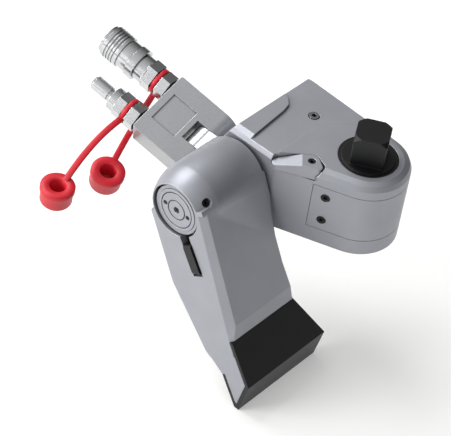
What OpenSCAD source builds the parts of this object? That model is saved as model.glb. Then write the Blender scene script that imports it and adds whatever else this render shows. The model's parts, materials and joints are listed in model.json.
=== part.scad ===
// Hydraulic torque wrench with a square drive, a turning reaction arm and a two-way hose swivel.
// Millimetres. +Z is the drive axis, +X runs from the drive to the cylinder, +Y along the cylinder.
// The origin is on the drive axis, in the plane of the head's upper face.

/* [Square drive] */
// Width of the square drive across its flats
square_af = 25.4; // [23:0.1:27]
// Length of the square above its shoulder
square_len = 25; // [20:0.5:38]
// Angle of the square about the drive axis at rest
square_turn = 30; // [0:1:89]
// Radius of the shoulder collar
collar_r = 22.4; // [21.8:0.1:23]

/* [Head and housing] */
// Radius of the round end of the head
head_r = 33; // [32.5:0.1:36]
// Half of the head's thickness
head_half = 34; // [33:0.5:38]
// Thickness of one cheek of the head
cheek_t = 13.3; // [12.5:0.1:14]
// Distance from the drive axis to the cylinder axis
lever_arm = 76; // [74:0.5:80]
// Rounding of the upper edge
rim = 6; // [3:0.5:6.5]
// Depth of the bare recess in the upper face
recess_depth = 2; // [0.5:0.1:2.5]

/* [Cylinder] */
// Radius of the cylinder bore
bore_r = 16; // [14:0.1:16.4]
// Stroke of the piston
stroke = 35; // [28:0.5:36]
// Radius of the piston rod
rod_r = 9; // [7:0.1:9.5]
// Radius of the barrel over its splines
barrel_r = 21.7; // [21:0.1:22.5]

/* [Ratchet] */
// Number of ratchet teeth
teeth = 36; // [36:12:36]
// Radius of the ratchet over its teeth
ratchet_r = 27; // [26.4:0.1:27.2]
// Height of a ratchet tooth
tooth_h = 2.4; // [1.6:0.1:2.6]

/* [Reaction arm] */
// Angle between the arm and the drive axis
arm_angle = 33.7; // [25:0.5:40]
// Outer radius of the arm's hub
hub_r = 29.5; // [28.5:0.1:31]
// Width of the arm's hub along the cylinder
hub_w = 68; // [64:0.5:70]
// Distance from the cylinder axis to the start of the foot pad
pad_a = 109; // [105:0.5:116]
// Thickness of the shoe on the foot
shoe_t = 3; // [2:0.1:4]

/* [Swivel and couplers] */
// Roll of the swivel about its stem at rest
swivel_roll = -21; // [-45:1:45]
// Tilt of the swivel block at rest
swivel_tilt = 15; // [0:1:25]
// Half of the distance between the two ports
port_y = 17; // [15.5:0.1:19]
// Radius of the nipple's probe
nipple_r = 5.95; // [5:0.05:6.2]
// Length of the nipple's probe
nipple_len = 20; // [16:0.5:24]
// Travel of the coupler's sliding sleeve
sleeve_travel = 5; // [3:0.5:6]
// Outer radius of a dust cap
cap_r = 13.5; // [12:0.5:14]

/* [Fits] */
// Radial play of a running fit
fit = 0.05; // [0.02:0.01:0.08]
// Gap between parts that must not touch
gap = 0.3; // [0.2:0.05:0.4]

/* [Hidden] */
$fn = 64;
alloy = [0.70, 0.71, 0.73];
steel = [0.55, 0.56, 0.58];
plated = [0.80, 0.81, 0.82];
black = [0.06, 0.06, 0.07];
red = [0.80, 0.08, 0.10];
bronze = [0.62, 0.45, 0.22];
seam_z = head_half - cheek_t;
cavity_z = seam_z - 1.5;
swing = atan(stroke / 2 / lever_arm);
reach = lever_arm / cos(swing);
side_y = -head_r - 4;
rear_x = lever_arm + 22;
wall_y = 52;
head = [0, 0, head_r];
ear = [lever_arm - 30, wall_y - 9, 9];
outline = [head, [rear_x - 14, side_y + 14, 14], [rear_x - 7, wall_y - 7, 7], ear];
cavity_r = ratchet_r + 1;
lever_half = 12;
slope = tan_n(ear, head);
shroud_x = 16;
lap_t = 4.3;
hub_bore = ratchet_r - tooth_h - 3.6;
bush_r = hub_bore + 3.5;
plate_in = 11.2;
plate_out = cavity_z - 0.6;
pin_r = 5.9;
lift = 15;
pawl_x = 24;
pawl_y = 36;
barrel_y = 120;
root_r = barrel_r - 1.5;
hub_y = wall_y + 2;
end_y = hub_y + hub_w;
gland_r = bore_r + 1.5;
hub = [0, 0, hub_r];
bulge = [60, 25.5 - hub_r * 1.1, hub_r - 2.5];
foot = [pad_a + 3, -5, 18.5];
piston_y = stroke / 2 + 74.5;
stem_y = 39;
stem_z = -17;
pivot_x = rear_x + 26;
block_l = 46;
hub_wall = hub_r - barrel_r;
port_x = block_l + 2;
coupler_x = port_x + 13;

// Unit vector at an angle.
function dir(a) = [cos(a), sin(a)];

// Angle of the outward normal of the line that touches circles p and q, each [x, y, r].
function tan_n(p, q) = atan2(q[1] - p[1], q[0] - p[0])
    - acos((p[2] - q[2]) / norm([q[0] - p[0], q[1] - p[1]]));

// Point of circle p at angle a.
function touch(p, a) = [p[0], p[1]] + p[2] * dir(a);

// Circles with every radius changed by d.
function grown(c, d) = [for (p = c) [p[0], p[1], p[2] + d]];

// Point of a quadratic curve at t.
function bend(p, t) = (1 - t) * (1 - t) * p[0] + 2 * t * (1 - t) * p[1] + t * t * p[2];

// Outline around circles given counter-clockwise.
module wrap(c) {
    n = len(c);
    for (p = c) translate([p[0], p[1]]) circle(r = p[2]);
    polygon([for (i = [0 : n - 1]) for (a = [tan_n(c[(i + n - 1) % n], c[i]), tan_n(c[i], c[(i + 1) % n])])
        touch(c[i], a)]);
}

// Section of the material taken off a rounded edge; the edge is at the origin.
module edge_section(f) {
    polygon([[-f - 0.7, 0.3], [-0.3 * f, -0.3 * f], [0.3, -f - 0.7], [2, -f - 0.7], [2, 2], [-f - 0.7, 2]]);
}

// Material taken off the round stretches of an outline's upper edge, at z = 0.
module edge_arcs(c, f) {
    n = len(c);
    for (i = [0 : n - 1]) {
        in_a = tan_n(c[(i + n - 1) % n], c[i]);
        out_a = tan_n(c[i], c[(i + 1) % n]);
        translate([c[i][0], c[i][1], 0]) rotate([0, 0, in_a])
            rotate_extrude(angle = (out_a - in_a + 720) % 360) translate([c[i][2], 0]) edge_section(f);
    }
}

// Material taken off the straight stretches of an outline's upper edge, at z = 0.
module edge_runs(c, f) {
    n = len(c);
    for (i = [0 : n - 1]) {
        a = tan_n(c[i], c[(i + 1) % n]);
        start = touch(c[i], a);
        run = norm(touch(c[(i + 1) % n], a) - start);
        translate([start[0], start[1], 0]) rotate([0, 0, a]) translate([0, run, 0]) rotate([90, 0, 0])
            linear_extrude(run) edge_section(f);
    }
}

// Shallow relief where a round and a straight stretch of an outline's upper edge meet, at z = 0.
module edge_joints(c, f, relief = 0.02) {
    n = len(c);
    for (i = [0 : n - 1]) {
        a = tan_n(c[i], c[(i + 1) % n]);
        for (p = [touch(c[i], a), touch(c[(i + 1) % n], a)])
            translate([p[0], p[1], 0]) rotate([0, 0, a]) rotate([90, 0, 0])
                linear_extrude(0.6, center = true) translate([-relief, -relief]) edge_section(f);
    }
}

// Plate of an outline with its upper edge rounded.
module soft_plate(c, half, f) {
    difference() {
        linear_extrude(2 * half, center = true) wrap(c);
        translate([0, 0, half]) {
            edge_arcs(c, f);
            edge_runs(c, f);
            edge_joints(c, f);
        }
    }
}

// Tube along z from z0 to z1.
module tube(ro, ri, z0, z1) {
    translate([0, 0, z0]) difference() {
        cylinder(r = ro, h = z1 - z0);
        translate([0, 0, -1]) cylinder(r = ri, h = z1 - z0 + 2);
    }
}

// Disc along z from z0 to z1.
module disc(r, z0, z1) {
    translate([0, 0, z0]) cylinder(r = r, h = z1 - z0);
}

// Flat strap swept along a quadratic curve, w wide along s and t thick.
module strap(p, s, w, t, n = 14) {
    pts = [for (i = [0 : n]) let (c = bend(p, i / n), d = bend(p, i / n + 0.01) - bend(p, i / n - 0.01),
        m = cross(d, s) / norm(cross(d, s)), u = cross(m, d) / norm(cross(m, d)))
        for (k = [[-1, -1], [1, -1], [1, 1], [-1, 1]]) c + u * k[0] * w / 2 + m * k[1] * t / 2];
    polyhedron(pts, concat([[0, 1, 2, 3]], [for (i = [0 : n - 1]) for (k = [0 : 3])
        [4 * i + k, 4 * i + 4 + k, 4 * i + 4 + (k + 1) % 4, 4 * i + (k + 1) % 4]],
        [[4 * n + 3, 4 * n + 2, 4 * n + 1, 4 * n]]));
}

// Frames: head centre, lever at rest, cylinder axis, arm, swivel stem, swivel block, side wall.
module in_frame() translate([0, 0, -head_half]) children();
module on_lever() in_frame() rotate([0, 0, swing]) children();
module on_cylinder() in_frame() translate([lever_arm, 0, 0]) rotate([-90, 0, 0]) children();
module on_arm() on_cylinder() rotate([0, 0, 90 + arm_angle]) children();
module on_stem() in_frame() translate([rear_x, stem_y, stem_z]) rotate([swivel_roll, 0, 0]) children();
module on_block() on_stem() translate([pivot_x - rear_x, 0, 0]) rotate([0, -swivel_tilt, 0]) children();
module on_port(s) on_block() translate([0, s * port_y, 0]) rotate([0, 90, 0]) children();
module on_side(t, z) {
    p = touch(head, slope) + t * dir(slope - 90);
    in_frame() translate([p[0], p[1], z]) rotate([0, 0, slope]) rotate([0, 90, 0]) children();
}
module about_pawl(a) translate([pawl_x, pawl_y]) rotate(a) translate([-pawl_x, -pawl_y]) children();

// Saw-tooth ratchet outline grown by c; the steep flanks face counter-clockwise.
module ratchet_outline(c) {
    p = 360 / teeth;
    k = c * 2;
    polygon([for (i = [0 : teeth - 1]) for (v = [[ratchet_r + c, -1.2 - k], [ratchet_r + c, k],
        [ratchet_r - tooth_h + c, 1.8 + k]]) v[0] * dir(i * p + v[1])]);
}

// Twelve-point outline of the drive's spline.
module spline_outline(c) {
    side = 1.14 * hub_bore + 2 * c;
    for (a = [0, 30, 60]) rotate(a) square(side, center = true);
}

// Part of the head's wall that the front shroud fills.
module shroud_zone() {
    difference() {
        intersection() {
            wrap(outline);
            translate([-100, -100]) square([100 + shroud_x, 200]);
        }
        intersection() {
            wrap(grown(outline, -lap_t));
            translate([2, 0]) square(100);
        }
    }
}

// Outline of the release lever.
module lever_outline(c) {
    wrap([[pawl_x - 7, pawl_y + 1.4, 3.4 + c], [pawl_x + 0.5, pawl_y - 0.5, 6 + c],
        [pawl_x + 20, pawl_y + 14.5, 4.2 + c]]);
}

// Outline of the reaction pawl.
module pawl_outline(c) {
    wrap([[pawl_x, pawl_y, 4.8 + c], [pawl_x - 0.6, pawl_y - 15.5, 3.2 + c]]);
    wrap([[pawl_x - 0.4, pawl_y - 15.5, 3 + c], [pawl_x - 1, pawl_y - 18.8, 0.6 + c]]);
}

// Material taken out of the upper face for the bare recess.
module top_recess() {
    difference() {
        translate([0, 0, head_half - recess_depth]) linear_extrude(10)
            polygon([[lever_arm - 28.8, 70], [lever_arm - 28.8, 17], [-20, -60], [rear_x + 20, -60],
                [rear_x + 20, -9], [rear_x - 6, -8], [rear_x - 15, -5], [rear_x - 21, 1], [rear_x - 23, 9],
                [rear_x - 29, 70]]);
        translate([3, 17, 0]) disc(lever_arm - 31, 0, head_half + 20);
    }
}

// Head cheeks, lever case and cylinder barrel in one body.
module housing() {
    color(alloy) in_frame() difference() {
        union() {
            difference() {
                soft_plate(outline, head_half, rim);
                translate([rear_x, -100, 15]) rotate([0, -30, 0]) cube([40, 200, 60]);
            }
            translate([lever_arm, 0, 0]) rotate([-90, 0, 0]) {
                disc(root_r, wall_y - 6, barrel_y);
                translate([0, 0, wall_y - 6]) linear_extrude(barrel_y - wall_y + 2) for (i = [0 : 23])
                    rotate(15 * i) translate([root_r - 1, -1.3]) square([barrel_r - root_r + 1, 2.6]);
            }
        }
        linear_extrude(2 * seam_z, center = true) shroud_zone();
        linear_extrude(2 * cavity_z, center = true) wrap([[0, 0, cavity_r],
            [lever_arm, -stroke / 2, lever_half + 0.8], [reach + 0.4, 0, lever_half + 0.8],
            [lever_arm, stroke / 2, lever_half + 0.8]]);
        for (m = [0, 1]) mirror([0, 0, m]) {
            disc(bush_r, 0, head_half - 5);
            disc(collar_r + 0.4, 0, head_half + 1);
        }
        translate([lever_arm, 0, 0]) rotate([-90, 0, 0]) {
            disc(rod_r + fit, 20, wall_y);
            disc(bore_r, wall_y - 8, barrel_y);
            disc(gland_r + fit, barrel_y - 12, barrel_y + 1);
        }
        top_recess();
        translate([lever_arm - 18.7, -5.5, 0]) {
            disc(4.4, head_half - 5, head_half);
            disc(2.5 + fit, cavity_z + 1.5, head_half);
        }
        for (a = [0, lift]) translate([0, 0, head_half - 10.6]) linear_extrude(30) about_pawl(a)
            lever_outline(0.6);
        linear_extrude(19.8, center = true) wrap([[pawl_x, pawl_y, 5.5], [pawl_x - 5, pawl_y - 18, 2],
            [pawl_x + 9, pawl_y - 18, 2]]);
        translate([pawl_x, pawl_y, 0]) disc(3 + fit, -cavity_z, head_half);
        translate([rear_x, stem_y, stem_z]) rotate([0, 90, 0]) disc(8 + fit, -10, 5);
        for (z = [-11, 11]) side_hole(z);
    }
}

// Tapped hole for a shroud screw.
module side_hole(z) {
    p = touch(head, slope) + 18.5 * dir(slope - 90);
    translate([p[0], p[1], z]) rotate([0, 0, slope]) rotate([0, 90, 0]) disc(2 + fit, -11, 2);
}

// Curved cover that closes the round end of the head between the cheeks.
module front_shroud() {
    color(alloy) difference() {
        in_frame() linear_extrude(2 * (seam_z - gap), center = true) difference() {
            shroud_zone();
            circle(r = cavity_r + 0.6);
            translate([0, -cavity_r - 0.6]) square([50, 2 * cavity_r + 1.2]);
            translate([shroud_x - gap, -100]) square(200);
        }
        for (z = [-11, 11]) on_side(18.5, z) {
            disc(3.7, -2.9, 2);
            disc(2.3, -11, 2);
        }
    }
}

// Two socket screws that hold the shroud.
module shroud_screws() {
    color(black) for (z = [-11, 11]) on_side(18.5, z) difference() {
        union() {
            disc(3.4, -2.9, -0.3);
            disc(2, -9.5, -2);
        }
        translate([0, 0, -1.9]) cylinder(r = 1.9, h = 3, $fn = 6);
    }
}

// Socket screw in the bare recess.
module recess_screw() {
    color(steel) in_frame() translate([lever_arm - 18.7, -5.5, 0]) difference() {
        union() {
            disc(4, head_half - 5, head_half - recess_depth + 0.6);
            disc(2.5, cavity_z + 2, head_half - 4);
        }
        translate([0, 0, head_half - 3.6]) cylinder(r = 2, h = 5, $fn = 6);
    }
}

// Plug that closes the cylinder, with two spanner holes.
module end_gland() {
    color(alloy) on_cylinder() difference() {
        disc(gland_r, barrel_y - 12, barrel_y + 0.5);
        tube(gland_r + 1, gland_r - 2.6, barrel_y - 9.5, barrel_y - 6.5);
        for (s = [-1, 1]) translate([s * 11, 0, 0]) disc(2, barrel_y - 5, barrel_y + 2);
        tube(8.5, 7.5, barrel_y - 0.4, barrel_y + 2);
        tube(15, 14.2, barrel_y - 0.4, barrel_y + 2);
        translate([0, 0, barrel_y - 3]) cylinder(r = 3, h = 8, $fn = 6);
    }
}

// Ring seal of the end gland.
module gland_seal() {
    color(black) on_cylinder() tube(gland_r, gland_r - 2.5, barrel_y - 9.3, barrel_y - 6.7);
}

// Bush of the drive in a cheek.
module bush() {
    tube(bush_r, hub_bore + fit, cavity_z + 0.4, head_half - 5);
}
module upper_bush() {
    color(bronze) in_frame() bush();
}
module lower_bush() {
    color(bronze) in_frame() mirror([0, 0, 1]) bush();
}

// Fixed stem that the hose swivel turns on.
module swivel_stem() {
    color(steel) on_stem() rotate([0, 90, 0]) difference() {
        union() {
            disc(8, -9.5, 12.6);
            disc(12.5, 0, 3);
        }
        tube(9, 6.6, 10.2, 11.6);
        disc(2.5, -10, 9);
    }
}

// Ring that keeps the yoke on the stem.
module stem_ring() {
    color(steel) on_stem() rotate([0, 90, 0]) tube(10, 6.7, 10.3, 11.5);
}

// Toothed wheel and its hub.
module ratchet_wheel() {
    color(steel) on_lever() difference() {
        union() {
            linear_extrude(2 * (plate_in - 0.7), center = true) ratchet_outline(0);
            disc(hub_bore, -head_half + 5, head_half - 5);
        }
        linear_extrude(3 * head_half, center = true) spline_outline(0.1);
    }
}

// Square drive with its shoulder collar and spline.
module square_drive() {
    color(black) in_frame() difference() {
        union() {
            disc(collar_r, head_half - 4.8, head_half - 0.2);
            disc(collar_r - 2.2, head_half - 3, head_half + 1);
            rotate([0, 0, square_turn]) intersection() {
                translate([-square_af / 2, -square_af / 2, head_half])
                    cube([square_af, square_af, square_len]);
                union() {
                    disc(square_af * 0.683, 0, head_half + square_len - 3);
                    translate([0, 0, head_half + square_len - 3.01])
                        cylinder(r1 = square_af * 0.683, r2 = square_af * 0.683 - 3, h = 3.01);
                }
            }
            rotate([0, 0, swing]) translate([0, 0, 5 - head_half])
                linear_extrude(2 * head_half - 9) spline_outline(0);
        }
        rotate([0, 0, square_turn]) translate([0, 0, head_half + square_len / 2]) rotate([0, 90, 0])
            disc(2.4, -30, 30);
        disc(7, -head_half, -5);
    }
}

// Knob and stud that keep the drive in the ratchet.
module drive_retainer() {
    color(black) in_frame() difference() {
        union() {
            disc(19, -head_half - 8, -head_half - gap);
            disc(hub_bore - 0.4, -head_half - 1, 4.8 - head_half);
            disc(6.8, -head_half, -8);
        }
        disc(6 + gap, -head_half - 9, -head_half - 2.5);
        disc(3, -head_half - 9, -12);
        for (i = [0 : 11]) rotate(30 * i) translate([20.4, 0, 0]) disc(2.6, -head_half - 9, -head_half - 2);
    }
}

// Push button of the retainer.
module retainer_button() {
    color(steel) in_frame() {
        disc(6, -head_half - 10, -head_half - 6);
        disc(2.6, -head_half - 7, -15);
    }
}

// Spring behind the push button.
module button_spring() {
    color(steel) in_frame() for (i = [0 : 2])
        tube(5.6 - i * 0.3, 3.3, -head_half - 3.8 + i * 0.4, -head_half - 2.5);
}

// Plate of the drive lever between z0 and z1.
module drive_plate(z0, z1) {
    on_lever() translate([0, 0, z0]) linear_extrude(z1 - z0) difference() {
        wrap([[0, 0, cavity_r - 2], [reach, 0, lever_half]]);
        circle(r = hub_bore + fit);
        wrap([[lever_arm - 0.6, 0, pin_r + gap], [reach + 0.6, 0, pin_r + gap]]);
        for (s = [-1, 1]) translate([51, s * 5]) circle(r = 2.5);
    }
}
module upper_drive_plate() {
    color(steel) drive_plate(plate_in, plate_out);
}
module lower_drive_plate() {
    color(steel) drive_plate(-plate_out, -plate_in);
}

// Block between the plates that backs the pawl springs.
module spring_block() {
    color(steel) on_lever() difference() {
        translate([46, -9, -plate_in]) cube([10, 18, 2 * plate_in]);
        for (s = [-1, 1]) translate([51, s * 5, 0]) disc(2.5, -20, 20);
        for (z = [-5, 5]) translate([0, 0, z]) rotate([0, 90, 0]) disc(2.7, 40, 48.5);
    }
}

// Two pins that join the plates and the block.
module plate_pins() {
    color(steel) on_lever() for (s = [-1, 1]) translate([51, s * 5, 0]) disc(2.5, -plate_out, plate_out);
}

// Two springs that press the drive pawl.
module pawl_springs() {
    color(steel) on_lever() for (z = [-5, 5]) translate([0, 0, z]) rotate([0, 90, 0]) difference() {
        disc(2.5, 36, 48.5);
        disc(1.6, 35, 49);
        for (i = [0 : 5]) tube(3, 2.1, 37 + 2 * i, 37.9 + 2 * i);
    }
}

// Pawl that drives the ratchet on the working stroke.
module drive_pawl() {
    color(steel) on_lever() difference() {
        translate([22, -8.2, 0.9 - plate_in]) cube([20, 16.4, 2 * plate_in - 1.8]);
        linear_extrude(60, center = true) ratchet_outline(0.2);
        for (z = [-5, 5]) translate([0, 0, z]) rotate([0, 90, 0]) disc(2.8, 32.6, 50);
    }
}

// Piston, rod and rod eye.
module piston_rod() {
    color(steel) difference() {
        union() {
            on_cylinder() {
                disc(rod_r, stroke / 2, piston_y + 1);
                disc(bore_r - fit, piston_y, piston_y + 14);
            }
            in_frame() translate([lever_arm, stroke / 2, 0]) disc(lever_half - 1, 0.7 - plate_in, plate_in - 0.7);
        }
        on_cylinder() tube(bore_r + 1, bore_r - 3, piston_y + 5, piston_y + 9);
        in_frame() translate([lever_arm, stroke / 2, 0]) disc(pin_r, -20, 20);
    }
}

// Ring seal of the piston.
module piston_seal() {
    color(black) on_cylinder() tube(bore_r - 0.02, bore_r - 2.95, piston_y + 5.1, piston_y + 8.9);
}

// Pin through the rod eye and the slots of the plates.
module rod_pin() {
    color(steel) in_frame() translate([lever_arm, stroke / 2, 0]) disc(pin_r, -plate_out, plate_out);
}

// Finger lever that lifts the reaction pawl.
module release_lever() {
    color(alloy) in_frame() difference() {
        translate([0, 0, head_half - 10]) linear_extrude(10.4) lever_outline(0);
        translate([pawl_x + 6, pawl_y + 4, head_half + 0.4]) rotate([0, 0, 41]) rotate([0, 17, 0])
            translate([0, -20, 0]) cube([40, 40, 20]);
        translate([pawl_x, pawl_y, 0]) disc(3, 0, head_half + 2);
    }
}

// Shaft that joins the release lever and the reaction pawl.
module release_shaft() {
    color(black) in_frame() translate([pawl_x, pawl_y, 0]) difference() {
        disc(3, 1 - cavity_z, head_half);
        translate([0, 0, head_half - 2]) cylinder(r = 1.6, h = 4, $fn = 6);
    }
}

// Pawl that keeps the ratchet from turning back.
module reaction_pawl() {
    color(steel) in_frame() difference() {
        linear_extrude(19, center = true) pawl_outline(0);
        translate([pawl_x, pawl_y, 0]) disc(3, -30, 30);
    }
}

// Leg and foot of the arm before its flank is cut, seen from the side.
module arm_side() {
    translate([0, 0, hub_y - 20]) linear_extrude(hub_w + 20) wrap([[0, 0, hub_r - 0.8], bulge, foot]);
    translate([0, 0, hub_y - 20]) linear_extrude(hub_w + 20)
        polygon([[pad_a - 20, 11 - shoe_t], [pad_a + 37, 11 - shoe_t], [pad_a + 54, -9], [pad_a + 52, -10],
            [pad_a + 28.5, -10], [pad_a + 28.5, -13], [pad_a + 8, -22], [pad_a - 20, -18]]);
}

// Material taken off the front of the foot for the shoe, with the ledge above it.
module arm_ledge() {
    linear_extrude(3 * hub_w)
        polygon([[pad_a - 12, 15.6], [pad_a - 0.3, 11], [pad_a - 0.3, 11 - shoe_t], [pad_a + 70, 11 - shoe_t],
            [pad_a + 70, 60], [pad_a - 12, 60]]);
}

// Material taken off the flank that faces the head: a waist, then a flare to the foot.
module arm_flank() {
    rotate([90, 0, 0]) linear_extrude(200, center = true)
        polygon([[-60, hub_y - 40], [pad_a + 39, hub_y - 40], [pad_a + 39, hub_y - 20], [pad_a - 3, hub_y],
            [pad_a - 34, hub_y + 3.4], [pad_a - 57, hub_y + 4.2], [pad_a - 75, hub_y + 3], [20, hub_y],
            [-60, hub_y]]);
}

// Material taken off a long edge of the arm's end face.
module arm_bevel(p, a, w, d, run) {
    translate([p[0], p[1], end_y]) rotate([0, 0, a]) rotate([90, 0, 90]) linear_extrude(run)
        polygon([[-w, 0], [0, -d], [6, -d], [6, 6], [-w, 6]]);
}

// Reaction arm: domed hub around the barrel, curved leg and foot.
module reaction_arm() {
    front = tan_n(foot, hub);
    color(alloy) on_arm() difference() {
        union() {
            rotate_extrude() intersection() {
                polygon([[0, hub_y], [hub_r - 4, hub_y], [hub_r - 1.2, hub_y + 1.2], [hub_r, hub_y + 4],
                    [hub_r, end_y], [0, end_y]]);
                union() {
                    translate([hub_r - 42, end_y - 24]) circle(r = 42.5, $fn = 128);
                    translate([0, hub_y - 1]) square([hub_r + 5, hub_w - 23]);
                }
            }
            difference() {
                intersection() {
                    arm_side();
                    translate([0, -60, 0]) cube([pad_a + 80, 120, 3 * hub_w]);
                }
                arm_ledge();
                arm_flank();
            }
        }
        arm_bevel(touch(hub, front), front - 90, 6, 5, pad_a + 10);
        disc(barrel_r + fit, hub_y - 1, end_y + 1);
        translate([0, -5, end_y - 22]) cube([54, 10, 40]);
        translate([36, 0, end_y - 15]) rotate([90, 0, 0]) disc(1.6, -14, 14);
        on_set_screw() {
            disc(3.4, barrel_r + 0.4 * hub_wall, hub_r + 20);
            disc(2.5, 10, hub_r);
        }
    }
}

// Frame of the set screw: its axis points out of the hub.
module on_set_screw() {
    translate([0, 0, end_y - 9]) rotate([0, 0, 131 - arm_angle]) rotate([0, 90, 0]) children();
}

// Set screw in the hub.
module arm_set_screw() {
    color(black) on_arm() on_set_screw() difference() {
        disc(2.5, barrel_r + 0.08 * hub_wall, barrel_r + 0.55 * hub_wall);
        translate([0, 0, barrel_r + 0.25 * hub_wall]) cylinder(r = 1.4, h = hub_wall, $fn = 6);
    }
}

// Black shoe wrapped around the foot.
module foot_shoe() {
    color(black) on_arm() difference() {
        translate([0, 0, hub_y - 20]) linear_extrude(hub_w + 20)
            polygon([[pad_a, 11], [pad_a + 39, 11], [pad_a + 59.5, -9.5], [pad_a + 57, -13], [pad_a + 28.8, -13],
                [pad_a + 28.8, -10], [pad_a + 52, -10], [pad_a + 54, -9], [pad_a + 37, 11 - shoe_t],
                [pad_a, 11 - shoe_t]]);
        arm_flank();
    }
}

// Spring latch that keeps the arm on the barrel.
module lock_lever() {
    color(black) on_arm() translate([0, 4, 0]) rotate([90, 0, 0]) linear_extrude(8) difference() {
        union() {
            wrap([[36, end_y - 15, 4], [49.5, end_y - 1, 2.5], [30, end_y - 1, 2.5]]);
            wrap([[barrel_r + 2.6, end_y - 8, 2], [36, end_y - 8, 3]]);
        }
        translate([36, end_y - 15]) circle(r = 1.6 + fit);
    }
}

// Pivot of the latch.
module lock_pin() {
    color(steel) on_arm() translate([36, 0, end_y - 15]) rotate([90, 0, 0]) disc(1.6, -13, 13);
}

// Yoke that rolls on the stem and carries the hinge.
module swivel_yoke() {
    color(alloy) on_stem() difference() {
        union() {
            rotate([0, 90, 0]) disc(13.2, 3 + gap, 14);
            translate([9, -8.8, -11]) cube([pivot_x - rear_x - 9, 17.6, 22]);
            translate([pivot_x - rear_x, 0, 0]) rotate([90, 0, 0]) disc(11.3, -8.8, 8.8);
        }
        rotate([0, 90, 0]) disc(8 + fit, 0, 13);
        rotate([0, 90, 0]) disc(10.4, 10, 13);
        translate([pivot_x - rear_x, 0, 0]) rotate([90, 0, 0]) disc(5 + fit, -20, 20);
    }
}

// Block that tilts on the hinge and holds the two ports.
module swivel_block() {
    color(alloy) on_block() difference() {
        union() {
            translate([0, 0, -11.5]) linear_extrude(23) wrap([[block_l - 2, port_y + 9, 2], [2, port_y + 9, 2],
                [2, -port_y - 9, 2], [block_l - 2, -port_y - 9, 2]]);
            rotate([90, 0, 0]) disc(11.5, -port_y - 11, port_y + 11);
        }
        translate([-30, -9.1, -20]) cube([42.4, 18.2, 40]);
        rotate([90, 0, 0]) disc(5, -60, 60);
        translate([17, -13, 10.5]) cube([23, 26, 5]);
        for (s = [-1, 1]) translate([0, s * port_y, 0]) rotate([0, 90, 0]) disc(6.5, block_l - 12, block_l + 2);
    }
}

// Hinge pin of the swivel.
module hinge_pin() {
    color(steel) on_block() rotate([90, 0, 0]) disc(5, -port_y - 10.6, port_y + 10.6);
}

// Seal rings under the port adapters.
module port_seals() {
    color(black) for (s = [-1, 1]) on_port(s) tube(9.4, 6.6, block_l, port_x);
}

// Screwed adapter with a hexagon and a groove for the cap ring.
module adapter() {
    difference() {
        union() {
            disc(6.4, block_l - 11, port_x + 1);
            translate([0, 0, port_x]) cylinder(r = 11.5, h = 8.5, $fn = 6);
            disc(8, port_x + 8, coupler_x);
        }
        disc(2.5, block_l - 12, coupler_x + 1);
    }
}
module near_adapter() {
    color(plated) on_port(1) adapter();
}
module far_adapter() {
    color(plated) on_port(-1) adapter();
}

// Male nipple of the return line.
module return_nipple() {
    base = coupler_x + 14;
    color(plated) on_port(1) difference() {
        union() {
            translate([0, 0, coupler_x]) cylinder(r = 11, h = 8, $fn = 6);
            disc(9.6, coupler_x + 7, base);
            disc(nipple_r, base - 1, base + nipple_len - 1.5);
            translate([0, 0, base + nipple_len - 1.51]) cylinder(r1 = nipple_r, r2 = nipple_r - 1.2, h = 1.51);
        }
        tube(nipple_r + 1, nipple_r - 1, base + 1.5, base + 4);
        disc(2.2, coupler_x - 1, base + nipple_len + 1);
        disc(3.2, base + nipple_len - 6, base + nipple_len + 1);
    }
}

// Check poppet in the nipple.
module nipple_poppet() {
    tip = coupler_x + 14 + nipple_len;
    color(steel) on_port(1) {
        disc(2.9, tip - 5.9, tip - 1.5);
        disc(1.8, tip - 14, tip - 5);
    }
}

// Body of the female coupler.
module coupler_body() {
    color(plated) on_port(-1) difference() {
        union() {
            translate([0, 0, coupler_x]) cylinder(r = 12.3, h = 9, $fn = 6);
            disc(11, coupler_x + 8, coupler_x + 51);
            disc(11.9, coupler_x + 48.6, coupler_x + 51);
        }
        disc(2.5, coupler_x - 1, coupler_x + 40);
        disc(nipple_r + 0.1, coupler_x + 35, coupler_x + 52);
        disc(nipple_r + 0.8, coupler_x + 33, coupler_x + 36);
        translate([0, 0, coupler_x + 49.4]) cylinder(r1 = nipple_r + 0.1, r2 = nipple_r + 2.2, h = 2);
    }
}

// Check poppet in the female coupler.
module coupler_poppet() {
    color(steel) on_port(-1) {
        disc(nipple_r - 0.4, coupler_x + 33, coupler_x + 35.5);
        disc(2.2, coupler_x + 22, coupler_x + 34);
    }
}

// Sliding sleeve of the female coupler, with grip grooves.
module coupler_sleeve() {
    color(plated) on_port(-1) difference() {
        tube(13.6, 11 + fit, coupler_x + 17, coupler_x + 48.2);
        for (i = [0 : 3]) tube(20, 12.9, coupler_x + 36 + 2.6 * i, coupler_x + 37.2 + 2.6 * i);
        tube(20, 12.4, coupler_x + 24, coupler_x + 33);
    }
}

// Ring of a dust cap in the groove of its adapter.
module cap_ring() {
    tube(11, 8.1, port_x + 8.8, coupler_x - 0.3);
}

// Cup of a dust cap, opening upward, with a domed crown and a grip flange.
module cap_cup() {
    rotate_extrude() difference() {
        union() {
            polygon([[0, -9], [cap_r - 4, -9], [cap_r - 1, -6], [cap_r - 1, 8], [0, 8]]);
            translate([0, 4]) square([cap_r, 5]);
            translate([0, -12]) square([5.5, 6]);
        }
        translate([0, -6]) square([nipple_r + 0.4, 30]);
    }
}

// Dust cap of the nipple, with its strap and ring in one piece.
module near_dust_cap() {
    color(red) {
        on_port(1) cap_ring();
        on_block() {
            strap([[port_x + 11, port_y + 9, 0], [port_x + 11, port_y + 42, 16], [port_x + 7, port_y + 76, 0]],
                [1, 0, 0], 4, 2.6);
            translate([port_x + 6, port_y + 86, -4]) rotate([20, 10, 0]) cap_cup();
        }
    }
}

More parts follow.
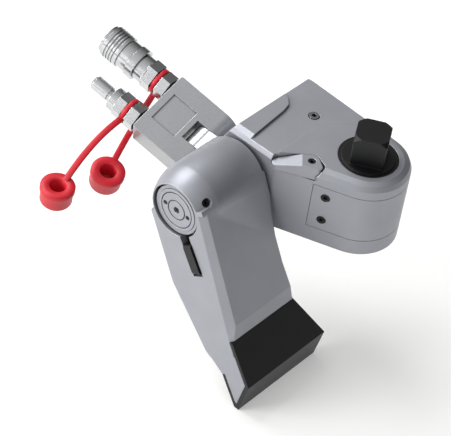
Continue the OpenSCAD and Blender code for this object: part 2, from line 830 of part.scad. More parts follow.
// Dust cap of the female coupler, with its strap and ring in one piece.
module far_dust_cap() {
    color(red) {
        on_port(-1) cap_ring();
        on_block() {
            strap([[port_x + 11, -port_y, -9], [port_x + 12, port_y - 6, -40], [port_x - 5, port_y + 38, -20]],
                [1, 0, 0], 4, 2.6);
            translate([port_x - 8, port_y + 46, -20]) rotate([15, 0, 0]) cap_cup();
        }
    }
}

housing();
front_shroud();
shroud_screws();
recess_screw();
end_gland();
gland_seal();
upper_bush();
lower_bush();
swivel_stem();
stem_ring();
ratchet_wheel();
square_drive();
drive_retainer();
retainer_button();
button_spring();
upper_drive_plate();
lower_drive_plate();
spring_block();
plate_pins();
pawl_springs();
drive_pawl();
piston_rod();
piston_seal();
rod_pin();
release_lever();
release_shaft();
reaction_pawl();
reaction_arm();
foot_shoe();
arm_set_screw();
lock_lever();
lock_pin();
swivel_yoke();
swivel_block();
hinge_pin();
port_seals();
near_adapter();
far_adapter();
return_nipple();
nipple_poppet();
coupler_body();
coupler_poppet();
coupler_sleeve();
near_dust_cap();
far_dust_cap();
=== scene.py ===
"""Studio picture of a hydraulic torque wrench on a pale floor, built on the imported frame."""
import json
import logging
import math
from dataclasses import dataclass, field
from enum import Enum

import bmesh
import bpy
import numpy as np
from mathutils import Matrix, Vector


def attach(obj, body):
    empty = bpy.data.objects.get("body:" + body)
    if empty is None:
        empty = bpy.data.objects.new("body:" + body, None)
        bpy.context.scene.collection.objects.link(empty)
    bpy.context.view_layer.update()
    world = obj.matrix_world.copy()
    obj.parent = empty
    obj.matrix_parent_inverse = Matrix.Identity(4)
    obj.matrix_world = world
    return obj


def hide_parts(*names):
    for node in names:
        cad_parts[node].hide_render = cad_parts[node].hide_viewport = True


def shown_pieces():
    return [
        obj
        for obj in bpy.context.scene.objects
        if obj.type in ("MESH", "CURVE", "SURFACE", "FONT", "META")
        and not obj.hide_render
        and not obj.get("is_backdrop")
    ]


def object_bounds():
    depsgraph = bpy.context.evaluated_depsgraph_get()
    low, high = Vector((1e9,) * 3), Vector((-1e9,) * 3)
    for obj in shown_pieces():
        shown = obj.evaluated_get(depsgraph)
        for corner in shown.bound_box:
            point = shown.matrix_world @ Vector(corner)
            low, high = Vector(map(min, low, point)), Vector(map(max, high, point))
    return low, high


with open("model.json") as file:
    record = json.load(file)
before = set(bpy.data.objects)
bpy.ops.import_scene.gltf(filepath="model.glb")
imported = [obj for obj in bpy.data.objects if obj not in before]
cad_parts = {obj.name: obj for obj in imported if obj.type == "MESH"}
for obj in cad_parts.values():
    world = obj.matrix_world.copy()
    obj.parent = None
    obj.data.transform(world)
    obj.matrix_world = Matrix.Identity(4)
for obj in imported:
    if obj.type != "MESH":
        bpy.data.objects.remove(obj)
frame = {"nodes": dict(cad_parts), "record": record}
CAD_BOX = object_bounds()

logging.basicConfig(level=logging.INFO, format="%(name)s %(message)s")
LOG = logging.getLogger("wrench")
MM = 0.001
HEAD_HALF = 34.0
CYLINDER_X = 76.0
EDGE_SAMPLES = 6
# Reach of the ambient occlusion that paints shade into narrow gaps and creases.
GAP_REACH_MM = 2.4
MERGE_MM = 0.02
ON_FACE_MM = 0.05
SECTION_STEPS = 16
# Near-black colour of the painted shade that is mixed into narrow gaps and creases.
GAP_SHADE_COLOUR = "101012"
WHITE = "FFFFFF"
FLOOR_PAINT = "E6E6E4"


class Slot(str, Enum):
    """Material slots of the record."""

    ALLOY = "alloy"
    STEEL = "steel"
    BLACK = "black_steel"
    PLATED = "plated"
    SEAL = "seal"
    RUBBER = "red_rubber"
    BRONZE = "bronze"


def linear(code: str) -> tuple[float, float, float, float]:
    """Turns an sRGB hex colour into linear RGBA.

    Args:
        code: Six hex digits.

    Returns:
        Linear red, green, blue and an alpha of one.
    """
    srgb = np.array([int(code[i:i + 2], 16) for i in (0, 2, 4)]) / 255.0
    rgb = np.where(srgb <= 0.04045, srgb / 12.92, ((srgb + 0.055) / 1.055) ** 2.4)
    return (float(rgb[0]), float(rgb[1]), float(rgb[2]), 1.0)


def add(tree: bpy.types.NodeTree, kind: str, values: dict | None = None, links: dict | None = None,
        settings: dict | None = None) -> bpy.types.Node:
    """Adds a shader node.

    Args:
        tree: Node tree that takes the node.
        kind: Blender's type name of the node.
        values: Constant values by socket name or place.
        links: Output sockets to link, by the name or place of the input socket.
        settings: Attributes of the node.

    Returns:
        The new node.
    """
    new = tree.nodes.new(kind)
    for name, value in (settings or {}).items():
        setattr(new, name, value)
    for name, value in (values or {}).items():
        new.inputs[name].default_value = value
    for name, socket in (links or {}).items():
        tree.links.new(socket, new.inputs[name])
    return new


@dataclass(frozen=True)
class Finish:
    """Surface finish with a fine grain, a slow random change of tone, worn edges and painted shade in narrow
    gaps.

    Attributes:
        name: Common name of the material and of how its surface was made.
        slot: Slot of the record that the finish belongs to.
        dark: Darker colour of the surface, sRGB hex.
        light: Lighter colour of the surface, sRGB hex.
        worn: Colour of rubbed edges, sRGB hex.
        metallic: Metal share of the surface.
        rough: Lowest and highest roughness.
        grain_mm: Size of one grain of the fine texture.
        grain_depth: Strength of the fine texture.
        patch_mm: Size of one patch of the slow shade change.
        edge_mm: Radius of the softened edges.
        stretch: Stretch of the grain along x, y and z; one is even.
        wear: Share of the worn colour on edges.
        gap_shade: Share of the colour replaced by painted shade, near black, in narrow gaps and creases.
    """

    name: str
    slot: Slot
    dark: str
    light: str
    worn: str
    metallic: float
    rough: tuple[float, float]
    grain_mm: float
    grain_depth: float
    patch_mm: float = 14.0
    edge_mm: float = 0.5
    stretch: tuple[float, float, float] = (1.0, 1.0, 1.0)
    wear: float = 0.5
    # Share of painted shade in narrow gaps and creases.
    gap_shade: float = 0.8

    @staticmethod
    def mix(tree: bpy.types.NodeTree, share: bpy.types.NodeSocket, first: object,
            second: object) -> bpy.types.NodeSocket:
        """Mixes two colours.

        Args:
            tree: Node tree that takes the node.
            share: Share of the second colour.
            first: Hex colour or socket.
            second: Hex colour or socket.

        Returns:
            The mixed colour's socket.
        """
        node = add(tree, "ShaderNodeMix", {}, {"Factor": share}, {"data_type": "RGBA"})
        for socket, colour in zip([s for s in node.inputs if s.type == "RGBA"], (first, second)):
            if isinstance(colour, str):
                socket.default_value = linear(colour)
            else:
                tree.links.new(colour, socket)
        return next(s for s in node.outputs if s.type == "RGBA")

    def build(self) -> bpy.types.Material:
        """Makes the material.

        Returns:
            The material with its node tree.
        """
        mat = bpy.data.materials.new(self.name)
        mat.use_nodes = True
        tree = mat.node_tree
        tree.nodes.clear()
        place = add(tree, "ShaderNodeTexCoord").outputs["Object"]
        drawn = add(tree, "ShaderNodeMapping", {"Scale": self.stretch}, {"Vector": place}).outputs["Vector"]
        grain = add(tree, "ShaderNodeTexNoise",
                    {"Scale": 1.0 / (self.grain_mm * MM), "Detail": 2.0, "Roughness": 0.6},
                    {"Vector": drawn}).outputs["Fac"]
        patch = add(tree, "ShaderNodeTexNoise", {"Scale": 1.0 / (self.patch_mm * MM), "Detail": 3.0},
                    {"Vector": place}).outputs["Fac"]
        soft = add(tree, "ShaderNodeBevel", {"Radius": self.edge_mm * MM}, {},
                   {"samples": EDGE_SAMPLES}).outputs["Normal"]
        face = add(tree, "ShaderNodeNewGeometry").outputs["True Normal"]
        along = add(tree, "ShaderNodeVectorMath", {}, {0: soft, 1: face},
                    {"operation": "DOT_PRODUCT"}).outputs["Value"]
        rubbed = add(tree, "ShaderNodeMapRange",
                     {"From Min": 0.97, "From Max": 0.80, "To Min": 0.0, "To Max": self.wear},
                     {"Value": along}).outputs["Result"]
        # Painted shade: ambient occlusion finds narrow gaps, creases and recesses, and the colour there is
        # mixed towards the near-black gap colour.
        gap = add(tree, "ShaderNodeAmbientOcclusion", {"Distance": GAP_REACH_MM * MM}, {},
                  {"samples": EDGE_SAMPLES}).outputs["AO"]
        gap_shade_share = add(tree, "ShaderNodeMapRange",
                   {"From Min": 0.35, "From Max": 0.8, "To Min": self.gap_shade, "To Max": 0.0},
                   {"Value": gap}).outputs["Result"]
        shade = self.mix(tree, patch, self.dark, self.light)
        colour = self.mix(tree, gap_shade_share, self.mix(tree, rubbed, shade, self.worn), GAP_SHADE_COLOUR)
        gloss = add(tree, "ShaderNodeMapRange",
                    {"From Min": 0.3, "From Max": 0.7, "To Min": self.rough[0], "To Max": self.rough[1]},
                    {"Value": grain}).outputs["Result"]
        bump = add(tree, "ShaderNodeBump", {"Strength": self.grain_depth, "Distance": 0.05 * MM},
                   {"Height": grain, "Normal": soft}).outputs["Normal"]
        surface = add(tree, "ShaderNodeBsdfPrincipled", {"Metallic": self.metallic},
                      {"Base Color": colour, "Roughness": gloss, "Normal": bump}).outputs["BSDF"]
        add(tree, "ShaderNodeOutputMaterial", {}, {"Surface": surface})
        return mat


# Bead-blasted, clear-anodised aluminium: an even satin grey with a fine sparkle and broad soft highlights.
# The blasting grit is about 0.2 mm and is drawn at 0.35 mm so that it shows.
# Colours: darker shade, lighter shade and rubbed edge.
BLASTED = Finish("blasted_anodised_aluminium", Slot.ALLOY, "9698A0", "A4A6AC", "C4C6CA", metallic=0.55,
                 rough=(0.36, 0.50), grain_mm=0.35, grain_depth=0.25, patch_mm=30.0, edge_mm=0.9)
# Fine-milled aluminium left bright: paler than the blasted metal, with tighter highlights.
MILLED = Finish("milled_aluminium", Slot.ALLOY, "A2A4A7", "ACAEB1", "CDCFD2", metallic=0.7,
                rough=(0.26, 0.38), grain_mm=0.5, grain_depth=0.15, patch_mm=20.0, edge_mm=0.7)
# Ground tool steel: cool grey, with fine marks along the drive axis.
GROUND = Finish("ground_tool_steel", Slot.STEEL, "84868A", "9A9CA0", "B4B6B9", metallic=1.0,
                rough=(0.25, 0.40), grain_mm=0.5, grain_depth=0.15, patch_mm=12.0, edge_mm=0.3,
                stretch=(1.0, 1.0, 6.0))
# Black-oxide steel: near black with a dull oily sheen, rubbed grey on its edges.
BLACKED = Finish("black_oxide_steel", Slot.BLACK, "060608", "0C0C0F", "3A3A3D", metallic=0.2,
                 rough=(0.34, 0.50), grain_mm=0.4, grain_depth=0.2, patch_mm=10.0, edge_mm=0.5)
# Bright zinc-nickel plate: pale and mirror-like, with a slight orange peel.
PLATE = Finish("zinc_nickel_plate", Slot.PLATED, "B8BABC", "CCCDCE", "DADBDC", metallic=1.0,
               rough=(0.14, 0.24), grain_mm=0.8, grain_depth=0.06, patch_mm=9.0, edge_mm=0.4)
# Moulded nitrile rubber: dull black.
NITRILE = Finish("moulded_nitrile", Slot.SEAL, "0B0B0C", "141415", "1E1E20", metallic=0.0,
                 rough=(0.55, 0.70), grain_mm=0.4, grain_depth=0.2, patch_mm=8.0, edge_mm=0.2)
# Moulded red PVC rubber: strong red with a soft broad sheen and a faint mould grain.
RED = Finish("moulded_red_rubber", Slot.RUBBER, "B80D1E", "D0142A", "DC3345", metallic=0.0,
             rough=(0.38, 0.52), grain_mm=0.6, grain_depth=0.2, patch_mm=10.0, edge_mm=0.6,
             wear=0.3, gap_shade=0.5)
# Turned bearing bronze: warm brown metal with rings from the lathe.
BRONZE = Finish("turned_bronze", Slot.BRONZE, "8A6A35", "A07C42", "C09A5C", metallic=1.0,
                rough=(0.28, 0.42), grain_mm=0.5, grain_depth=0.15, patch_mm=8.0, edge_mm=0.3,
                stretch=(1.0, 1.0, 5.0))


@dataclass
class PaintShop:
    """Builds each finish once.

    Attributes:
        finishes: The usual finish of each slot.
        made: Materials already built, by name.
    """

    finishes: tuple[Finish, ...] = (BLASTED, GROUND, BLACKED, PLATE, NITRILE, RED, BRONZE)
    made: dict[str, bpy.types.Material] = field(default_factory=dict)

    def get(self, finish: Finish) -> bpy.types.Material:
        """Finds or builds the material of a finish.

        Args:
            finish: The finish.

        Returns:
            Its material.
        """
        if finish.name not in self.made:
            self.made[finish.name] = finish.build()
        return self.made[finish.name]

    def usual(self, node: str) -> Finish:
        """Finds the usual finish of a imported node.

        Args:
            node: Name of the node.

        Returns:
            The finish of its slot.
        """
        slot = next(p["material_slot"] for p in frame["record"]["subparts"] if p["node"] == node)
        return next(f for f in self.finishes if f.slot.value == slot)


def turn(axis: str, degrees: float) -> np.ndarray:
    """Rotation matrix about a row axis.

    Args:
        axis: "X", "Y" or "Z".
        degrees: Angle.

    Returns:
        A 3 by 3 matrix.
    """
    return np.array(Matrix.Rotation(math.radians(degrees), 3, axis))


def rounded(angle: np.ndarray, power: float) -> tuple[np.ndarray, np.ndarray]:
    """Superellipse of unit half sides: cosine and sine, each raised to a power with its sign kept.

    Args:
        angle: Angles around the section.
        power: Power; one gives a circle, and a smaller power a fuller section.

    Returns:
        Both coordinates of the section.
    """
    c, s = np.cos(angle), np.sin(angle)
    return np.sign(c) * np.abs(c) ** power, np.sign(s) * np.abs(s) ** power


def place_piece(mesh: bpy.types.Mesh, body: str, finish: Finish, nodes: tuple[str, ...],
                paint: PaintShop) -> bpy.types.Object:
    """Puts a finished mesh into the frame.

    Args:
        mesh: Mesh in metres, in the row frame; its name is the piece's name.
        body: Body that the piece rides on.
        finish: Finish of the piece.
        nodes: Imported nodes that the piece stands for.
        paint: Source of the material.

    Returns:
        The new object.
    """
    mesh.materials.append(paint.get(finish))
    obj = bpy.data.objects.new(mesh.name, mesh)
    bpy.context.scene.collection.objects.link(obj)
    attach(obj, body)
    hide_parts(*nodes)
    LOG.info("%s: %d faces on %s", mesh.name, len(mesh.polygons), body)
    return obj


@dataclass
class Shell:
    """Surface made of joined grids.

    Attributes:
        points: Vertex blocks, in millimetres, in the row frame.
        quads: Face blocks.
        count: Vertices so far.
    """

    points: list[np.ndarray] = field(default_factory=list)
    quads: list[np.ndarray] = field(default_factory=list)
    count: int = 0

    def grid(self, verts: np.ndarray, wrap_rows: bool = False) -> None:
        """Adds a grid whose columns close on themselves; each face joins two rows and two columns.

        Args:
            verts: Rows by columns by three.
            wrap_rows: True if the last row joins the first.
        """
        rows, cols = verts.shape[:2]
        index = np.arange(rows * cols).reshape(rows, cols) + self.count
        if wrap_rows:
            index = np.vstack([index, index[:1]])
        low, high = index[:-1], index[1:]
        faces = np.stack([low, np.roll(low, -1, 1), np.roll(high, -1, 1), high], axis=-1)
        self.points.append(verts.reshape(-1, 3))
        self.quads.append(faces.reshape(-1, 4))
        self.count += rows * cols

    def mesh(self, name: str) -> bpy.types.Mesh:
        """Makes the mesh.

        Args:
            name: Name of the mesh.

        Returns:
            The mesh in metres, with poles merged and faces pointing out.
        """
        mesh = bpy.data.meshes.new(name)
        mesh.from_pydata(np.concatenate(self.points) * MM, [], np.concatenate(self.quads))
        work = bmesh.new()
        work.from_mesh(mesh)
        bmesh.ops.remove_doubles(work, verts=work.verts, dist=MERGE_MM * MM)
        bmesh.ops.recalc_face_normals(work, faces=work.faces)
        work.to_mesh(mesh)
        work.free()
        mesh.polygons.foreach_set("use_smooth", np.ones(len(mesh.polygons), dtype=bool))
        mesh.update()
        return mesh


@dataclass
class SubAssembly:
    """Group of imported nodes.

    Attributes:
        nodes: Names of the nodes.
        special: Nodes that take another finish than their slot's usual one.
    """

    nodes: tuple[str, ...] = ()
    special: dict[str, Finish] = field(default_factory=dict)

    def dress(self, paint: PaintShop) -> None:
        """Gives each node its finish.

        Args:
            paint: Source of the materials.
        """
        for name in self.nodes:
            finish = self.special.get(name) or paint.usual(name)
            data = frame["nodes"][name].data
            data.materials.clear()
            data.materials.append(paint.get(finish))
            LOG.info("%s takes %s", name, finish.name)

    def build(self, paint: PaintShop) -> None:
        """Dresses the nodes and adds nothing.

        Args:
            paint: Source of the materials.
        """
        self.dress(paint)


@dataclass
class Head(SubAssembly):
    """Housing of the head with its shroud, bushes, screws and release."""

    nodes: tuple[str, ...] = (
        "housing", "front_shroud", "shroud_screws", "recess_screw", "upper_bush", "lower_bush",
        "release_lever", "release_shaft", "reaction_pawl")


@dataclass
class RatchetDrive(SubAssembly):
    """Square drive, ratchet, lever plates and drive pawl."""

    nodes: tuple[str, ...] = (
        "ratchet_wheel", "square_drive", "drive_retainer", "retainer_button", "button_spring",
        "upper_drive_plate", "lower_drive_plate", "spring_block", "plate_pins", "pawl_springs",
        "drive_pawl")


@dataclass
class Cylinder(SubAssembly):
    """End gland, piston and seals."""

    nodes: tuple[str, ...] = ("end_gland", "gland_seal", "piston_rod", "piston_seal", "rod_pin")


@dataclass
class ReactionArm(SubAssembly):
    """Reaction arm with its shoe, screw and lock lever.

    Attributes:
        angle: Angle between the arm and the drive axis.
        end_y: Place of the arm's end face along the cylinder.
        hub_end_r: Radius of the hub's dome at the end face.
        rear_side: Place across the leg beyond which an edge is on its rear side.
        rear_edge: Rounding of the long rear edge of the end face.
        rear_run: Length of that edge along the leg.
        flat_angle: Angle in degrees under which neighbouring faces count as one plane.
        crease: Angle in degrees above which an edge is shaded sharp.
    """

    nodes: tuple[str, ...] = ("reaction_arm", "foot_shoe", "arm_set_screw", "lock_lever", "lock_pin")
    angle: float = 33.7
    end_y: float = 122.0
    hub_end_r: float = 22.9
    rear_side: float = -6.0
    rear_edge: float = 3.5
    rear_run: float = 116.0
    flat_angle: float = 0.3
    crease: float = 32.0

    def local(self, points: np.ndarray) -> np.ndarray:
        """Carries row points into the arm's frame: along the leg, across it and along the cylinder.

        Args:
            points: Points in metres, in the row frame.

        Returns:
            Points in millimetres, in the arm's frame.
        """
        base = turn("X", -90) @ turn("Z", 90 + self.angle)
        return (points / MM - np.array([CYLINDER_X, 0.0, -HEAD_HALF])) @ base

    def casting(self, paint: PaintShop) -> None:
        """Adds the arm with a rounded rear edge: the node's shape, merged, with a bevel on chosen edges.

        An edge is chosen if it lies on the end face, on the rear side, outside the hub and on the leg's run.

        Args:
            paint: Source of the material.
        """
        source = frame["nodes"]["reaction_arm"].data
        flat = np.zeros(len(source.vertices) * 3, dtype=np.float32)
        source.vertices.foreach_get("co", flat)
        corner = np.zeros(len(source.loops), dtype=np.int32)
        source.loops.foreach_get("vertex_index", corner)
        grid, joined = np.unique(np.round(flat.reshape(-1, 3) / MM, 3), axis=0, return_inverse=True)
        faces = joined.reshape(-1)[corner].reshape(-1, 3)
        whole = (faces[:, 0] != faces[:, 1]) & (faces[:, 1] != faces[:, 2]) & (faces[:, 2] != faces[:, 0])
        mesh = bpy.data.meshes.new("arm_casting")
        mesh.from_pydata(grid * MM, [], faces[whole])
        work = bmesh.new()
        work.from_mesh(mesh)
        bmesh.ops.dissolve_limit(work, angle_limit=math.radians(self.flat_angle), verts=work.verts,
                                 edges=work.edges)
        work.to_mesh(mesh)
        work.free()
        place = np.zeros(len(mesh.vertices) * 3, dtype=np.float32)
        mesh.vertices.foreach_get("co", place)
        ends = np.zeros(len(mesh.edges) * 2, dtype=np.int32)
        mesh.edges.foreach_get("vertices", ends)
        pair = self.local(place.reshape(-1, 3).astype(float))[ends.reshape(-1, 2)]
        on_end = (pair[..., 2] > self.end_y - ON_FACE_MM).all(axis=1)
        on_rear = (pair[..., 1] < self.rear_side).all(axis=1)
        outside = (np.hypot(pair[..., 0], pair[..., 1]) > self.hub_end_r).any(axis=1)
        on_leg = (pair[..., 0] < self.rear_run).all(axis=1)
        chosen = on_end & on_rear & outside & on_leg
        weight = mesh.attributes.new("bevel_weight_edge", "FLOAT", "EDGE")
        weight.data.foreach_set("value", chosen.astype(np.float32))
        mesh.polygons.foreach_set("use_smooth", np.ones(len(mesh.polygons), dtype=bool))
        mesh.set_sharp_from_angle(angle=math.radians(self.crease))
        mesh.update()
        obj = place_piece(mesh, "arm", BLASTED, ("reaction_arm",), paint)
        edge = obj.modifiers.new("rear_edge", "BEVEL")
        edge.limit_method = "WEIGHT"
        edge.width = self.rear_edge * MM
        edge.segments = 4
        edge.use_clamp_overlap = False
        LOG.info("arm_casting: %d rounded edges", int(chosen.sum()))

    def build(self, paint: PaintShop) -> None:
        """Dresses the nodes and adds the rounded casting.

        Args:
            paint: Source of the materials.
        """
        self.dress(paint)
        self.casting(paint)


@dataclass
class Swivel(SubAssembly):
    """Two-way hose swivel."""

    nodes: tuple[str, ...] = (
        "swivel_stem", "stem_ring", "swivel_yoke", "swivel_block", "hinge_pin", "port_seals")
    special: dict[str, Finish] = field(default_factory=lambda: {
        "swivel_stem": MILLED, "swivel_yoke": MILLED, "swivel_block": MILLED})


@dataclass
class BlockFrame:
    """Frame of the tilted swivel block.

    Attributes:
        pivot: Hinge centre in millimetres, in the row frame.
        roll: Roll about the stem.
        tilt: Tilt about the hinge.
    """

    pivot: tuple[float, float, float] = (124.0, 39.0, -17.0 - HEAD_HALF)
    roll: float = -21.0
    tilt: float = 15.0

    def place(self, points: np.ndarray, local: np.ndarray | None = None, at: tuple = (0, 0, 0)) -> np.ndarray:
        """Carries points of the block into the row frame: a turn about `at`, then the block's own turns.

        Args:
            points: Points in millimetres.
            local: Extra turn about `at`, or None.
            at: Place of the points in the block.

        Returns:
            Points in the row frame.
        """
        base = turn("X", self.roll) @ turn("Y", -self.tilt)
        inner = points if local is None else points @ local.T
        return (inner + np.array(at, dtype=float)) @ base.T + np.array(self.pivot)


@dataclass
class DustCap:
    """Red dust cap: ring in the adapter's groove, strap and cup, moulded in one piece.

    Attributes:
        name: Name of the piece.
        node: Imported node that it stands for.
        port_y: Side place of its port.
        path: Three points of the strap's curve, in the block's frame.
        cup_at: Place of the cup in the block's frame.
        cup_turn: Turn of the cup about X and Y.
        ring_x: Place of the ring along the port.
        ring_r: Radius of the ring's middle.
        ring_half: Half of the ring's thickness and half of its width.
        strap_half: Half of the strap's width and half of its thickness.
        profile: Outline of the cup from the middle of its knob to the middle of its floor: radius and height.
        block: Frame of the block.
        ring_steps: Sections around the ring.
        strap_steps: Sections along the strap.
        cup_steps: Steps around the cup.
    """

    name: str
    node: str
    port_y: float
    path: tuple[tuple[float, float, float], ...]
    cup_at: tuple[float, float, float]
    cup_turn: tuple[float, float]
    ring_x: float = 58.75
    ring_r: float = 9.6
    ring_half: tuple[float, float] = (1.45, 1.9)
    strap_half: tuple[float, float] = (2.5, 1.5)
    profile: tuple[tuple[float, float], ...] = (
        (0.0, -12.0), (4.8, -12.0), (5.5, -11.4), (5.5, -9.3), (6.2, -9.0), (9.2, -9.0), (10.6, -8.4),
        (12.1, -6.6), (12.5, -5.6), (12.5, 3.2), (12.8, 3.7), (13.2, 4.0), (13.5, 4.5), (13.5, 8.4),
        (12.9, 9.0), (7.0, 9.0),
        (6.35, 8.4), (6.35, -5.6), (6.0, -6.0), (0.0, -6.0))
    block: BlockFrame = field(default_factory=BlockFrame)
    ring_steps: int = 64
    strap_steps: int = 40
    cup_steps: int = 72

    def ring(self) -> np.ndarray:
        """Ring: a full superellipse section carried around the port's axis at the ring's radius.

        Returns:
            Grid of points in the row frame.
        """
        a = np.linspace(0, 2 * math.pi, self.ring_steps, endpoint=False)[:, None]
        c, d = rounded(np.linspace(0, 2 * math.pi, SECTION_STEPS, endpoint=False)[None, :], 0.6)
        radial = self.ring_r + self.ring_half[0] * c
        along = self.ring_x + self.ring_half[1] * d + 0 * a
        points = np.stack([along, self.port_y + radial * np.cos(a), radial * np.sin(a)], axis=-1)
        return self.block.place(points)

    def strap(self) -> np.ndarray:
        """Strap: a flat superellipse section along a quadratic curve, square to the curve.

        The section is wide along the port, and it shrinks to a point at both ends.

        Returns:
            Grid of points in the row frame.
        """
        t = np.concatenate([[0.0], np.linspace(0, 1, self.strap_steps), [1.0]])[:, None]
        size = np.ones(len(t))
        size[[0, -1]] = 0.0
        p = np.array(self.path, dtype=float)
        centre = (1 - t) ** 2 * p[0] + 2 * t * (1 - t) * p[1] + t ** 2 * p[2]
        way = 2 * (1 - t) * (p[1] - p[0]) + 2 * t * (p[2] - p[1])
        thin = np.cross(way, np.array([1.0, 0.0, 0.0]))
        thin /= np.linalg.norm(thin, axis=1, keepdims=True)
        wide = np.cross(thin, way)
        wide /= np.linalg.norm(wide, axis=1, keepdims=True)
        c, d = rounded(np.linspace(0, 2 * math.pi, SECTION_STEPS, endpoint=False), 0.5)
        across = wide[:, None] * (self.strap_half[0] * c)[None, :, None]
        through = thin[:, None] * (self.strap_half[1] * d)[None, :, None]
        return self.block.place(centre[:, None] + (across + through) * size[:, None, None])

    def cup(self) -> np.ndarray:
        """Cup: the profile turned around its own axis.

        Each point is the radius times the cosine and the sine of its angle, and the height.

        Returns:
            Grid of points in the row frame.
        """
        outline = np.array(self.profile)
        a = np.linspace(0, 2 * math.pi, self.cup_steps, endpoint=False)[None, :]
        r, z = outline[:, :1], outline[:, 1:]
        points = np.stack([r * np.cos(a), r * np.sin(a), z + 0 * a], axis=-1)
        local = turn("Y", self.cup_turn[1]) @ turn("X", self.cup_turn[0])
        return self.block.place(points, local, self.cup_at)

    def build(self, paint: PaintShop) -> None:
        """Makes the piece.

        Args:
            paint: Source of the material.
        """
        shell = Shell()
        shell.grid(self.ring(), wrap_rows=True)
        shell.grid(self.strap())
        shell.grid(self.cup())
        place_piece(shell.mesh(self.name), "block", RED, (self.node,), paint)


@dataclass
class Couplers(SubAssembly):
    """Adapters, nipple, sleeve coupler and dust caps.

    Attributes:
        caps: The two dust caps.
    """

    nodes: tuple[str, ...] = ("near_adapter", "far_adapter", "return_nipple", "nipple_poppet", "coupler_body",
                              "coupler_poppet", "coupler_sleeve", "near_dust_cap", "far_dust_cap")
    caps: tuple[DustCap, ...] = (
        DustCap("near_cap_rubber", "near_dust_cap", 17.0, ((59, 26, 0), (59, 59, 16), (55, 93, 0)),
                cup_at=(54, 103, -4), cup_turn=(20, 10)),
        DustCap("far_cap_rubber", "far_dust_cap", -17.0, ((59, -17, -9), (60, 11, -40), (43, 55, -20)),
                cup_at=(40, 63, -20), cup_turn=(15, 0)))

    def build(self, paint: PaintShop) -> None:
        """Dresses the nodes and adds the caps.

        Args:
            paint: Source of the materials.
        """
        self.dress(paint)
        for cap in self.caps:
            cap.build(paint)


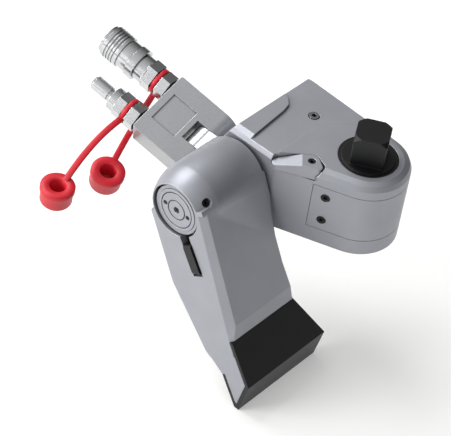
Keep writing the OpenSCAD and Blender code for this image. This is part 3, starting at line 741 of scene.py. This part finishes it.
@dataclass
class Studio:
    """Floor, light and camera.

    Attributes:
        eye: Camera place in metres, in the row frame.
        up: Camera's up in the row frame.
        aim: Point that the lights face.
        aspect: Width of the picture over its height.
        fill: Share of the picture that the wrench takes.
        key: Direction to the key light.
        key_far: Distance of the key light in metres.
        key_size: Side of the key light in metres.
        key_power: Power of the key light in watts.
        top: Place of the overhead light.
        top_size: Side of the overhead light in metres.
        top_power: Power of the overhead light in watts.
        dim: Strength of the surroundings away from the key light.
        bright: Strength of the surroundings on the side of the key light.
        ramp: Cosines to the key light between which the strength goes from dim to bright.
        floor_half: Half of the floor's side in metres.
        floor_lift: Light that the floor adds for the eye alone, where one is white.
    """

    eye: tuple[float, float, float] = (-0.6376, 1.0405, 1.0660)
    up: tuple[float, float, float] = (0.473, -0.3838, 0.7931)
    aim: tuple[float, float, float] = (0.094, 0.070, -0.055)
    aspect: float = 451 / 436
    fill: float = 0.88
    key: tuple[float, float, float] = (0.6, 0.95, 0.45)
    key_far: float = 1.7
    key_size: float = 0.8
    key_power: float = 18.0
    top: tuple[float, float, float] = (1.3, 0.0, 1.5)
    top_size: float = 1.2
    top_power: float = 24.0
    dim: float = 0.03
    bright: float = 0.92
    ramp: tuple[float, float] = (-0.6, 0.9)
    floor_half: float = 6.0
    floor_lift: float = 0.28

    def floor(self, height: float) -> None:
        """Makes the floor: a square grid at one height.

        Args:
            height: Height of the floor in metres.
        """
        side = np.linspace(-self.floor_half, self.floor_half, 2)
        x, y = np.meshgrid(side, side)
        points = np.stack([x, y, np.full_like(x, height)], axis=-1).reshape(-1, 3)
        mesh = bpy.data.meshes.new("floor")
        mesh.from_pydata(points, [], [(0, 1, 3, 2)])
        mat = bpy.data.materials.new("painted_floor")
        mat.use_nodes = True
        tree = mat.node_tree
        tree.nodes.clear()
        rays = add(tree, "ShaderNodeLightPath").outputs
        either = add(tree, "ShaderNodeMath", {}, {0: rays["Is Camera Ray"], 1: rays["Is Glossy Ray"]},
                     {"operation": "MAXIMUM"}).outputs[0]
        seen = add(tree, "ShaderNodeMath", {}, {0: either, 1: rays["Is Transmission Ray"]},
                   {"operation": "MAXIMUM"}).outputs[0]
        lift = add(tree, "ShaderNodeMath", {1: self.floor_lift}, {0: seen},
                   {"operation": "MULTIPLY"}).outputs[0]
        glow = add(tree, "ShaderNodeEmission", {"Color": linear(WHITE)}, {"Strength": lift}).outputs[0]
        matt = add(tree, "ShaderNodeBsdfDiffuse", {"Color": linear(FLOOR_PAINT)}).outputs[0]
        both = add(tree, "ShaderNodeAddShader", {}, {0: matt, 1: glow}).outputs[0]
        add(tree, "ShaderNodeOutputMaterial", {}, {"Surface": both})
        mesh.materials.append(mat)
        obj = bpy.data.objects.new("floor", mesh)
        bpy.context.scene.collection.objects.link(obj)
        obj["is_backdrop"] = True

    def lamp(self, name: str, at: tuple[float, float, float], size: float, power: float) -> None:
        """Adds a square soft light that faces the wrench.

        Args:
            name: Name of the light.
            at: Place in metres.
            size: Side of the light in metres.
            power: Power in watts.
        """
        data = bpy.data.lights.new(name, "AREA")
        data.size = size
        data.energy = power
        obj = bpy.data.objects.new(name, data)
        obj.location = at
        obj.rotation_euler = (Vector(self.aim) - Vector(at)).to_track_quat("-Z", "Y").to_euler()
        bpy.context.scene.collection.objects.link(obj)

    def light(self) -> None:
        """Adds the lights and the surroundings, bright on the key side and dim on the other."""
        world = bpy.data.worlds.new("studio")
        world.use_nodes = True
        tree = world.node_tree
        tree.nodes.clear()
        toward = Vector(self.key).normalized()
        way = add(tree, "ShaderNodeTexCoord").outputs["Generated"]
        side = add(tree, "ShaderNodeVectorMath", {1: toward}, {0: way},
                   {"operation": "DOT_PRODUCT"}).outputs["Value"]
        level = add(tree, "ShaderNodeMapRange",
                    {"From Min": self.ramp[0], "From Max": self.ramp[1], "To Min": self.dim,
                     "To Max": self.bright},
                    {"Value": side}).outputs["Result"]
        back = add(tree, "ShaderNodeBackground", {"Color": linear(WHITE)},
                   {"Strength": level}).outputs["Background"]
        add(tree, "ShaderNodeOutputWorld", {}, {"Surface": back})
        bpy.context.scene.world = world
        key_at = tuple(Vector(self.aim) + self.key_far * toward)
        self.lamp("key", key_at, self.key_size, self.key_power)
        self.lamp("top", self.top, self.top_size, self.top_power)

    def axes(self, ahead: np.ndarray) -> np.ndarray:
        """Axes of a camera that looks along a direction.

        Args:
            ahead: Direction of view.

        Returns:
            Rows right, up and ahead.
        """
        ahead = ahead / np.linalg.norm(ahead)
        side = np.cross(ahead, np.array(self.up))
        side /= np.linalg.norm(side)
        return np.stack([side, np.cross(side, ahead), ahead])

    def camera(self, points: np.ndarray) -> None:
        """Sets the camera so that the wrench fills the picture.

        Args:
            points: Points of the wrench in metres.
        """
        rays = points - np.array(self.eye)
        ahead = rays.mean(axis=0)
        for _ in range(6):
            seen = rays @ self.axes(ahead).T
            flat = seen[:, :2] / seen[:, 2:]
            middle = (flat.min(axis=0) + flat.max(axis=0)) / 2
            ahead = np.array([middle[0], middle[1], 1.0]) @ self.axes(ahead)
        half = (flat.max(axis=0) - flat.min(axis=0)) / 2
        reach = max(half[0], half[1] * self.aspect) / self.fill
        data = bpy.data.cameras.new("camera")
        data.sensor_width = 36.0
        data.lens = 18.0 / float(reach)
        obj = bpy.data.objects.new("camera", data)
        right, over, front = (Vector(row) for row in self.axes(ahead))
        turned = Matrix((right, over, -front)).transposed().to_4x4()
        obj.matrix_world = Matrix.Translation(Vector(self.eye)) @ turned
        bpy.context.scene.collection.objects.link(obj)
        bpy.context.scene.camera = obj
        bpy.context.scene.view_settings.view_transform = "Standard"
        LOG.info("lens %.1f mm", data.lens)


def corners(obj: bpy.types.Object) -> np.ndarray:
    """Vertices of a piece.

    Args:
        obj: Mesh object that sits unturned at the origin.

    Returns:
        Points in metres, in the row frame.
    """
    flat = np.zeros(len(obj.data.vertices) * 3, dtype=np.float32)
    obj.data.vertices.foreach_get("co", flat)
    return flat.reshape(-1, 3).astype(float)


def main() -> None:
    """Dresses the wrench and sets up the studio."""
    paint = PaintShop()
    for part in (Head(), RatchetDrive(), Cylinder(), ReactionArm(), Swivel(), Couplers()):
        part.build(paint)
        LOG.info("%s done", type(part).__name__)
    studio = Studio()
    studio.floor(float(CAD_BOX[0][2]) - 0.2 * MM)
    studio.light()
    studio.camera(np.concatenate([corners(obj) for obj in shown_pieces()]))


if __name__ == "__main__":
    main()
